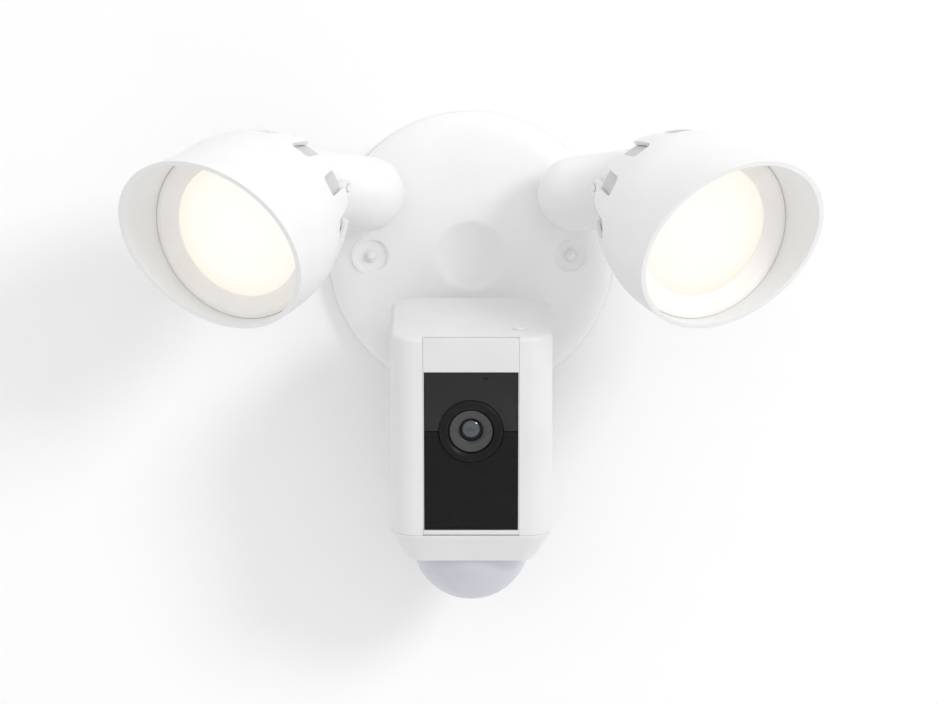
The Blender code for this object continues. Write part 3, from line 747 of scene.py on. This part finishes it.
def arm_path(sign):
    """Centres and radii along the arm, round at both ends."""
    ball = Vector(JOINTS["right_head_tilt"]["pos_m"])
    start, end = mirrored(ARM_START, sign), mirrored(ball, sign)
    leaves, arrives = mirrored(ARM_LEAVES, sign).normalized(), mirrored(ARM_ARRIVES, sign).normalized()
    near, far = start + leaves * 0.0110, end - arrives * 0.0110
    rounding = [math.radians(90 * (at + 0.5) / 14) for at in range(14)]
    path = []
    for angle in reversed(rounding):
        path.append((start - leaves * ARM_RADIUS * math.sin(angle), ARM_RADIUS * math.cos(angle)))
    pieces = 24
    for at in range(pieces + 1):
        t = at / pieces
        u = 1 - t
        point = start * u ** 3 + near * 3 * t * u * u + far * 3 * t * t * u + end * t ** 3
        path.append((point, ARM_RADIUS))
    for angle in rounding:
        path.append((end + arrives * ARM_RADIUS * math.sin(angle), ARM_RADIUS * math.cos(angle)))
    return path


def build_arm(side, sign):
    """The bent arm as a thick line, with its foot added and the pivot pin's hole cut."""
    curve = bpy.data.curves.new(side + "_arm_line", "CURVE")
    curve.dimensions = "3D"
    curve.bevel_depth = 1.0
    curve.bevel_resolution = 30
    curve.use_fill_caps = True
    path = arm_path(sign)
    line = curve.splines.new("POLY")
    line.points.add(len(path) - 1)
    for point, (place, radius) in zip(line.points, path):
        point.co = (*place, 1.0)
        point.radius = radius
    guide = bpy.data.objects.new(side + "_arm_guide", curve)
    bpy.context.scene.collection.objects.link(guide)
    bpy.context.view_layer.update()
    data = bpy.data.meshes.new_from_object(guide.evaluated_get(bpy.context.evaluated_depsgraph_get()))
    bpy.data.objects.remove(guide, do_unlink=True)
    shape = bmesh.new()
    shape.from_mesh(data)
    bmesh.ops.remove_doubles(shape, verts=shape.verts, dist=0.000005)
    bmesh.ops.recalc_face_normals(shape, faces=shape.faces)
    shape.to_mesh(data)
    shape.free()
    arm = object_from(side + "_lamp_arm", data, Matrix.Identity(4), WHITE)
    foot = [(0.0, 0.0030), (0.0070, 0.0030), (0.0070, 0.0182), (0.0091, 0.0182), (0.0094, 0.0185),
            (0.0096, 0.0200), (0.0103, 0.0243), (0.0116, 0.0335), (0.0118, 0.0345), (0.0, 0.0345)]
    neck = turned(side + "_foot", foot, on_plate(sign * ARM_BASE[0], ARM_BASE[1]), None, 72, False)
    combine(arm, [neck], "UNION")
    start, end = (-PIN_HOLE_REACH, 0, 0), (PIN_HOLE_REACH, 0, 0)
    combine(arm, [bar(side + "_pin_hole", PIN_HOLE, start, end, head_matrix(side))], "DIFFERENCE")
    settled_on(arm, side + "_arm_body", "white_plastic", side + "_arm")


for lamp_side, lamp_sign in SIDES:
    build_arm(lamp_side, lamp_sign)

# ------------------------------------------------------------------ lamp heads


def shell_profile():
    """Outside of housing and hood, from the front to the scalloped rear edge."""
    knots = [(0.0448, 0.1060), (0.0424, 0.0860), (0.0409, 0.0700), (0.0411, 0.0590), (0.0403, 0.0480),
             (0.0375, 0.0365), (0.0338, 0.0255), (0.0302, 0.0172)]
    return smoothed(knots, 8)


def notch_cutter(name, matrix):
    """A bar whose front end has round corners, to cut one notch up from the shell's rear edge."""
    corners = [(-NOTCH_HALF, 0.008), (-NOTCH_HALF, NOTCH_TOP), (NOTCH_HALF, NOTCH_TOP), (NOTCH_HALF, 0.008)]
    outline = filleted(corners, 0.0032, 8)

    def build(shape):
        near = [shape.verts.new((0.0235, y, z)) for y, z in outline]
        far = [shape.verts.new((0.0440, y, z)) for y, z in outline]
        shape.faces.new(near)
        shape.faces.new(far[::-1])
        for at in range(len(outline)):
            after = (at + 1) % len(outline)
            shape.faces.new((near[at], near[after], far[after], far[at]))

    return object_from(name, mesh_by(name, build), matrix, None)


def build_shell(side, sign, matrix):
    """The lamp's housing and hood in one, cut off on a slant in front and notched behind."""
    outside = shell_profile()
    inside = []
    for at, (radius, height) in enumerate(outside):
        before = Vector(outside[max(at - 1, 0)])
        after = Vector(outside[min(at + 1, len(outside) - 1)])
        along = (after - before).normalized()
        inward = Vector((along.y, -along.x)) * SHELL_WALL
        inside.append((radius + inward.x, height + inward.y))
    shell = turned(side + "_lamp_housing", outside + inside[::-1], matrix, WHITE, 192)
    slant = matrix @ Matrix.Translation((0, 0, HOOD_MIDDLE)) @ Matrix.Rotation(HOOD_SLANT, 4, "X")
    cuts = [boxed(side + "_mouth", (-0.08, -0.08, 0), (0.08, 0.08, 0.08), slant, None, 0)]
    combine(shell, cuts, "DIFFERENCE")
    notches = []
    for at in range(NOTCHES):
        turn = matrix @ Matrix.Rotation(2 * math.pi * at / NOTCHES + sign * NOTCH_TURN, 4, "Z")
        notches.append(notch_cutter(f"{side}_notch_{at}", turn))
    combine(shell, notches, "DIFFERENCE")
    softened(shell, 0.0005, 3, 40)
    settled_on(shell, side + "_head", "white_plastic", side + "_lamp_shell")


def build_lamp_front(side, matrix):
    """The lit diffuser, the bezel round it and the chips on the board behind it."""
    lens = smoothed([(0.0, 0.0597), (0.0120, 0.0594), (0.0230, 0.0586), (0.0300, 0.0578)], 6)
    lens += [(0.0313, 0.0575), (0.0313, 0.0556), (0.0, 0.0556)]
    glass = turned(side + "_diffuser", lens, matrix, GLOW, 128, False)
    settled_on(glass, side + "_head", "diffuser", side + "_lens")
    bezel = [(0.0387, 0.0632), (0.0387, 0.0620), (0.0382, 0.0614), (0.0382, 0.0560), (0.0318, 0.0560),
             (0.0318, 0.0588), (0.0297, 0.0590), (0.0297, 0.0600), (0.0305, 0.0605), (0.0366, 0.0632)]
    ring = turned(side + "_bezel_ring", filleted(bezel, 0.0004, 3), matrix, BEZEL, 128)
    settled_on(ring, side + "_head", "reflector", side + "_bezel")
    chips = []
    for at in range(9):
        reach = 0.0165 if at else 0.0
        angle = 2 * math.pi * at / 8
        x, y = reach * math.cos(angle), reach * math.sin(angle)
        low, high = (x - 0.0025, y - 0.0025, 0.0509), (x + 0.0025, y + 0.0025, 0.0518)
        chips.append(boxed(f"{side}_chip_{at}", low, high, matrix, GLOW, 0.0002, 1))
    settled_on(joined(side + "_led_chips", chips), side + "_head", "diffuser")


def build_heat_sink(side, matrix):
    """The bowl-shaped casting behind the lamp."""
    groove = [(0.0288, 0.0491), (0.0262, 0.0280), (0.0284, 0.0280), (0.0318, 0.0380), (0.0338, 0.0491)]
    bowl = smoothed([(0.0370, 0.0470), (0.0346, 0.0365), (0.0310, 0.0255), (0.0272, 0.0165)], 6)
    outline = [(0.0086, 0.0491)] + groove + [(0.0370, 0.0491)] + bowl + [(0.0240, 0.0150), (0.0095, 0.0150)]
    sink = turned(side + "_heat_sink_body", outline, matrix, SINK_GREY_AND_SHADE, 128)
    settled_on(sink, side + "_head", "white_metal", side + "_heat_sink")


def build_ball_clamp(side, matrix):
    """The ring that holds the arm's ball, with the two ears that carry the pivot pin."""
    ring = [(0.0236, 0.0147), (0.0234, 0.0105), (0.0205, 0.0075)]
    ring += arc(ARM_RADIUS + SEAT_GAP, CLAMP_REACH, CLAMP_LIP, 8)
    clamp = turned(side + "_clamp_ring", filleted(ring, 0.0008, 3), matrix, WHITE, 96)
    pieces = []
    for way in (-1, 1):
        near, far = way * EAR_NEAR, way * EAR_FAR
        pieces.append(bar(f"{side}_ear_{way}", EAR_RADIUS, (near, 0, 0), (far, 0, 0), matrix, None, 40))
        low = (min(near, far), -0.0035, 0)
        high = (max(near, far), 0.0035, 0.0100)
        pieces.append(boxed(f"{side}_ear_web_{way}", low, high, matrix, None, 0))
    combine(clamp, pieces, "UNION")
    combine(clamp, [bar(side + "_ear_hole", PIN_HOLE, (-0.03, 0, 0), (0.03, 0, 0), matrix)], "DIFFERENCE")
    softened(clamp, 0.0003, 2, 45)
    settled_on(clamp, side + "_head", "white_plastic", side + "_ball_clamp")


def build_lock_screw(side, sign, matrix):
    out = Vector((-sign * 0.87, -0.50, 0)).normalized()
    start = out * 0.0238 + Vector((0, 0, 0.0118))
    screw_place = matrix @ Matrix.Translation(start) @ out.to_track_quat("Z", "Y").to_matrix().to_4x4()
    head = [(0.0, 0.0034), (0.0022, 0.0034), (0.0030, 0.0028), (0.0030, 0.0), (0.0, 0.0)]
    screw = turned(side + "_lock_head", filleted(head, 0.0004, 3, False), screw_place, COATED, 48, False)
    combine(screw, crossed(side + "_slot", 0.0022, 0.0004, 0.0022, 0.006, screw_place), "DIFFERENCE")
    settled_on(screw, side + "_head", "white_metal", side + "_lock_screw")


for lamp_side, lamp_sign in SIDES:
    head_place = head_matrix(lamp_side)
    build_shell(lamp_side, lamp_sign, head_place)
    build_lamp_front(lamp_side, head_place)
    build_heat_sink(lamp_side, head_place)
    build_ball_clamp(lamp_side, head_place)
    build_lock_screw(lamp_side, lamp_sign, head_place)

# ------------------------------------------------------------------ camera housing


def build_housing():
    """The camera's white shell, open in front, behind and below."""
    edge, steps = 0.0022, 8
    rings = []
    for at in range(steps + 1):
        angle = math.radians(90 * at / steps)
        inset = edge * (1 - math.sin(angle))
        height = TOP - edge * (1 - math.cos(angle))
        half, corner = HALF_WIDTH - inset, CORNER - inset
        rings.append(outline_ring(half, FRONT + inset, REAR - inset, corner, height, 16))
    rings.append(outline_ring(HALF_WIDTH, FRONT, REAR, CORNER, BODY_BOTTOM, 16))
    housing = lofted("camera_housing", rings, CAMERA, CAMERA_SHADED_WHITE)
    inner = [outline_ring(HALF_WIDTH - WALL, FRONT + WALL, REAR - WALL, CORNER - WALL, height, 16)
             for height in (TOP - WALL, BODY_BOTTOM - 0.01)]
    cavity = lofted("cavity", inner, CAMERA, None)
    half = STRIP_HALF + 0.00006
    low, high = (-half, FRONT - 0.01, BODY_BOTTOM - 0.01), (half, FRONT + WALL + 0.0002, TOP + 0.01)
    window = boxed("window", low, high, CAMERA, None, 0)
    back = boxed("back", (-0.0285, REAR - 0.004, -0.0520), (0.0285, REAR + 0.01, 0.0220), CAMERA, None, 0)
    button = bar("button_hole", BUTTON_HOLE, (*BUTTON, 0.0), (*BUTTON, 0.05), CAMERA, None, 64)
    combine(housing, [cavity, window, back, button], "DIFFERENCE")
    settled_on(housing, "camera", "white_plastic", "housing_shell")


def build_front():
    """The strip down the front, and the black panel and speaker grille set into it."""
    low, high = (-STRIP_HALF, FRONT, BODY_BOTTOM + 0.0003), (STRIP_HALF, FRONT + 0.0022, TOP - 0.0003)
    strip = boxed("front_frame", low, high, CAMERA, WHITE_SMOOTH, 0.00025, 3)
    low, high = (-PANEL_HALF, FRONT - 0.01, PANEL_BOTTOM), (PANEL_HALF, FRONT + 0.01, PANEL_TOP)
    opening = boxed("panel_opening", low, high, CAMERA, None, 0)
    combine(strip, [opening], "DIFFERENCE")
    settled_on(strip, "camera", "white_plastic", "front_strip")
    half = PANEL_HALF - 0.0002
    face, back = FRONT + 0.0001, FRONT + 0.0018
    low, high = (-half, face, LENS_HEIGHT + 0.00008), (half, back, PANEL_TOP - 0.0002)
    upper = boxed("gloss_panel", low, high, CAMERA, GLOSS_BLACK, 0.0003, 2)
    low, high = (-half, face, PANEL_BOTTOM + 0.0002), (half, back, LENS_HEIGHT - 0.00012)
    lower = boxed("speaker_panel", low, high, CAMERA, GRILLE, 0.0003, 2)
    start, end = (0, FRONT - 0.01, LENS_HEIGHT), (0, FRONT + 0.01, LENS_HEIGHT)
    for panel in (upper, lower):
        hole = bar("lens_opening", LENS_OPENING, start, end, CAMERA, None, 128)
        combine(panel, [hole], "DIFFERENCE")
    low, high = (0.0050, FRONT - 0.01, 0.0108), (0.0074, FRONT + 0.0008, 0.0112)
    mark = boxed("microphone_slot", low, high, CAMERA, None, 0)
    combine(upper, [mark], "DIFFERENCE")
    settled_on(upper, "camera", "black_gloss", "black_panel")
    settled_on(lower, "camera", "black_plastic", "speaker_grille")


def build_lens():
    """The ring round the lens, the grey disc inside it, the barrel and the front glass."""
    axis = CAMERA @ Matrix.Translation((0, 0, LENS_HEIGHT)) @ Matrix.Rotation(math.radians(90), 4, "X")
    front = -FRONT
    ring = [(0.0100, front + 0.0003), (0.0112, front + 0.0010), (0.0132, front + 0.0010),
            (0.0139, front + 0.0003), (0.0139, front - 0.0030), (0.0100, front - 0.0030),
            (0.0096, front - 0.0003)]
    surround = turned("lens_surround", filleted(ring, 0.0004, 4), axis, RING_BLACK, 160)
    settled_on(surround, "camera", "black_plastic", "lens_ring")
    cone = [(0.0093, front - 0.0003), (0.0093, front - 0.0080), (0.0040, front - 0.0080),
            (0.0040, front - 0.0045), (0.0052, front - 0.0045), (0.0052, front - 0.0020),
            (0.0056, front - 0.0018), (0.0058, front - 0.0013), (0.0080, front - 0.0006)]
    disc = turned("lens_disc", filleted(cone, 0.0002, 3), axis, LENS_GREY, 128)
    settled_on(disc, "camera", "black_plastic")
    tube = [(0.0090, front - 0.0083), (0.0090, 0.0505), (0.0040, 0.0505), (0.0040, front - 0.0083)]
    barrel = turned("lens_tube", filleted(tube, 0.0003, 2), axis, BLACK, 64)
    settled_on(barrel, "camera", "black_plastic", "lens_barrel")
    profile = arc(LENS_DOME, 0, 41, 8, front - 0.0084)
    profile += [(FRONT_GLASS_EDGE, front - 0.0040), (0.0, front - 0.0041)]
    glass = turned("lens_front_glass", profile, axis, LENS_GLASS, 96, False)
    settled_on(glass, "camera", "lens_glass", "lens_glass")


def build_skirt():
    """The tapered foot of the camera, hollow, with the dome's round opening below."""

    def level(share, drop):
        """Skirt outline a share of the way from the housing to its foot."""
        half = HALF_WIDTH + (FOOT_HALF + 0.0003 - HALF_WIDTH) * share
        front = FRONT + 0.0070 * share
        rear = REAR - 0.0040 * share
        corner = CORNER + (0.0068 - CORNER) * share
        return outline_ring(half, front, rear, corner, drop, 16)

    top = BODY_BOTTOM - 0.0001
    rings = [level(0.0, top), level(0.02, top - 0.0008), level(0.06, top - 0.0016), level(0.13, top - 0.0026)]
    rings += [level(0.96, SKIRT_BOTTOM + 0.0010), level(1.0, SKIRT_BOTTOM + 0.0004)]
    rings.append(level(1.02, SKIRT_BOTTOM))
    skirt = lofted("camera_skirt", rings, CAMERA, CAMERA_SHADED_WHITE, 25)
    pocket = [outline_ring(HALF_WIDTH - WALL, FRONT + WALL, REAR - WALL, CORNER - WALL, height, 12)
              for height in (BODY_BOTTOM + 0.01, BODY_BOTTOM - 0.0004)]
    half, front, rear, floor = FOOT_HALF - 0.0016, FRONT + 0.0090, REAR - 0.0060, SKIRT_BOTTOM + 0.0034
    pocket.append(outline_ring(half, front, rear, 0.0060, floor, 12))
    hollow = lofted("skirt_hollow", pocket, CAMERA, None)
    hole = bar("dome_hole", DOME_HOLE, (0, 0, -0.01), (0, 0, 0.02), DOME_PLACE, None, 96)
    combine(skirt, [hollow, hole], "DIFFERENCE")
    settled_on(skirt, "camera", "white_plastic", "bottom_skirt")


def build_dome():
    """The motion window, a thin bowl hung from a rim inside the skirt."""
    rim = DOME_HOLE - 0.0004
    profile = [(rim, 0.0030), (rim, -0.0002), (DOME_RADIUS - 0.0004, -0.0002)]
    profile += arc(DOME_RADIUS, 91.2, 180, 24) + arc(DOME_RADIUS - DOME_WALL, 180, 103, 16)
    profile.append((rim - DOME_WALL, 0.0030))
    window = turned("motion_window", profile, DOME_PLACE, DOME, 128)
    settled_on(window, "camera", "dome_plastic", "motion_dome")


def build_rear_cover():
    """The cover in the camera's back, with grooves to grip it by and its two screws."""
    low, high = (-0.0282, REAR - 0.0022, -0.0517), (0.0282, REAR, 0.0217)
    cover = boxed("back_cover", low, high, CAMERA, WHITE, 0.0005, 3)
    hole = bar("socket_opening", 0.0151, (0, REAR - 0.01, 0), (0, REAR + 0.01, 0), CAMERA, None, 96)
    grooves = [boxed(f"groove_{at}", (-0.0180, REAR - 0.0007, -0.0290 - 0.0040 * at),
                     (0.0180, REAR + 0.01, -0.0280 - 0.0040 * at), CAMERA, None, 0) for at in range(4)]
    combine(cover, [hole] + grooves, "DIFFERENCE")
    settled_on(cover, "camera", "white_plastic", "rear_cover")
    for side, sign in SIDES:
        place = CAMERA @ Matrix.Translation((sign * 0.0240, REAR + 0.0003, -0.0470))
        place = place @ Matrix.Rotation(math.radians(-90), 4, "X")
        head = [(0.0, 0.0012), (0.0016, 0.0011), (0.0023, 0.0006), (0.0024, 0.0), (0.0, 0.0)]
        screw = turned(side + "_cover_screw", filleted(head, 0.0002, 3, False), place, STEEL, 40, False)
        combine(screw, crossed(side + "_cross", 0.0013, 0.0003, 0.0004, 0.004, place), "DIFFERENCE")
        settled_on(screw, "camera", "grey_metal", side + "_rear_screw")


def build_socket():
    """The cup that holds the stem's ball, and the ribbed collar that locks it."""
    cup = [(0.0, 0.0135), (SOCKET_RADIUS, 0.0135), (SOCKET_RADIUS, 0.0003)] + arc(SOCKET_SEAT, 88.5, 0, 12)
    socket = turned("socket_cup", cup, CAMERA_AXIS, WHITE, 72, False)
    settled_on(socket, "camera", "white_plastic", "ball_socket")
    collar = [(SOCKET_RADIUS, 0.0), (SOCKET_RADIUS, -0.0036), (0.0133, -0.0054)]
    collar += arc(SOCKET_SEAT, 118, 91.5, 8)
    ring = turned("collar_ring", filleted(collar, 0.0004, 3), CAMERA_AXIS, WHITE, 96)
    grips = []
    for at in range(COLLAR_GRIPS):
        angle = 2 * math.pi * at / COLLAR_GRIPS
        x, y = GRIP_REACH * math.cos(angle), GRIP_REACH * math.sin(angle)
        grips.append(bar(f"grip_{at}", 0.0010, (x, y, -0.01), (x, y, 0.01), CAMERA_AXIS, None, 12))
    combine(ring, grips, "DIFFERENCE")
    settled_on(ring, "camera", "white_plastic", "lock_collar")


def build_stem():
    """The stem that carries the camera, from its ball back to the boss on the plate."""
    last = 180 - math.degrees(math.asin(STEM_NECK / STEM_BALL))
    profile = arc(STEM_BALL, 0, last, 20, -BALL.y)
    profile += [(0.0047, 0.0195), (0.0052, 0.0186), (0.0060, 0.0182), (0.0085, 0.0180), (0.0088, 0.0176),
                (0.0088, 0.0163), (0.0045, 0.0163), (0.0045, 0.0035), (0.0, 0.0035)]
    stem = turned("ball_stem", profile, on_plate(0, BALL.z), COATED, 72, False)
    settled_on(stem, "root", "white_metal", "camera_stem")


def build_button():
    place = CAMERA @ Matrix.Translation((*BUTTON, TOP))
    cap = [(0.0, 0.0007), (0.0018, 0.0008), (0.0026, 0.0010), (0.0030, 0.0007), (0.0030, -0.0042),
           (0.0, -0.0042)]
    button = turned("button_cap", filleted(cap, 0.0003, 3, False), place, CAMERA_SHADED_WHITE, 64, False)
    settled_on(button, "button", "white_plastic", "setup_button")


build_housing()
build_front()
build_lens()
build_skirt()
build_dome()
build_rear_cover()
build_socket()
build_stem()
build_button()

# ------------------------------------------------------------------ stage, lights and camera

TARGET = Vector((-0.0009, 0.0, -0.0448))
VIEW_ELEVATION = math.radians(7)
VIEW_DISTANCE = 2.1
FOCAL = 179.5
WALL_OPENING = 0.0585
WALL_REACH = 5.0
WALL_BACK = 0.0006
FLOOR_SIZE = 40.0
WORLD_STRENGTH = 0.93


def wall_finish():
    """Pale wall seen only from its front, so that the object shows from behind too."""
    material = bpy.data.materials.new("wall_finish")
    material.use_nodes = True
    tree = material.node_tree
    shader = tree.nodes["Principled BSDF"]
    shader.inputs["Base Color"].default_value = (0.97, 0.97, 0.97, 1)
    shader.inputs["Roughness"].default_value = 0.9
    shader.inputs["Specular IOR Level"].default_value = 0.1
    clear = tree.nodes.new("ShaderNodeBsdfTransparent")
    side = tree.nodes.new("ShaderNodeNewGeometry")
    mix = tree.nodes.new("ShaderNodeMixShader")
    out = tree.nodes["Material Output"]
    tree.links.new(side.outputs["Backfacing"], mix.inputs[0])
    tree.links.new(shader.outputs[0], mix.inputs[1])
    tree.links.new(clear.outputs[0], mix.inputs[2])
    tree.links.new(mix.outputs[0], out.inputs[0])
    return material


def build_wall():
    """A wall with a round opening behind the plate, which lets light into the plate's open back."""
    steps = 96

    def build(shape):
        rows = []
        for radius in (WALL_OPENING, WALL_REACH):
            angles = [2 * math.pi * at / steps for at in range(steps)]
            rows.append([shape.verts.new((radius * math.cos(a), radius * math.sin(a), 0)) for a in angles])
        for at in range(steps):
            after = (at + 1) % steps
            shape.faces.new((rows[0][at], rows[1][at], rows[1][after], rows[0][after]))

    data = mesh_by("wall", build)
    if data.polygons[0].normal.z < 0:
        data.flip_normals()
    place = Matrix.Translation((0, WALL_BACK, 0)) @ Matrix.Rotation(math.radians(90), 4, "X")
    object_from("wall", data, place, wall_finish())


def build_floor():
    """A plain pale floor below, wide enough for a view from behind."""

    def build(shape):
        bmesh.ops.create_grid(shape, x_segments=1, y_segments=1, size=FLOOR_SIZE / 2)

    finish = moulded("floor_finish", (0.80, 0.80, 0.80), (0.83, 0.83, 0.83), (0.7, 0.8), 30, 0.0)
    made = object_from("floor", mesh_by("floor", build), Matrix.Translation((0, -2.0, -1.6)), finish)


def area_light(name, place, size, power):
    """A round soft light aimed at the middle of the plate."""
    data = bpy.data.lights.new(name, "AREA")
    data.shape = "DISK"
    data.size = size
    data.energy = power
    made = bpy.data.objects.new(name, data)
    bpy.context.scene.collection.objects.link(made)
    made.location = place
    made.rotation_euler = (-Vector(place)).to_track_quat("-Z", "Y").to_euler()


def build_lights():
    world = bpy.data.worlds.new("soft_world")
    bpy.context.scene.world = world
    world.use_nodes = True
    back = world.node_tree.nodes["Background"]
    back.inputs["Color"].default_value = (1, 1, 1, 1)
    back.inputs["Strength"].default_value = WORLD_STRENGTH
    area_light("key", (1.95, -2.05, 1.35), 0.95, 26)
    area_light("back_fill", (0.6, 2.4, 1.0), 2.2, 14)
    bpy.context.scene.view_settings.view_transform = "Standard"


def build_camera():
    data = bpy.data.cameras.new("view")
    data.lens = FOCAL
    data.sensor_width = 36
    data.clip_start = 0.05
    data.clip_end = 50
    made = bpy.data.objects.new("view", data)
    bpy.context.scene.collection.objects.link(made)
    away = Vector((0, -math.cos(VIEW_ELEVATION), math.sin(VIEW_ELEVATION)))
    made.location = TARGET + away * VIEW_DISTANCE
    made.rotation_euler = (-away).to_track_quat("-Z", "Y").to_euler()
    bpy.context.scene.camera = made


build_wall()
build_floor()
build_lights()
build_camera()
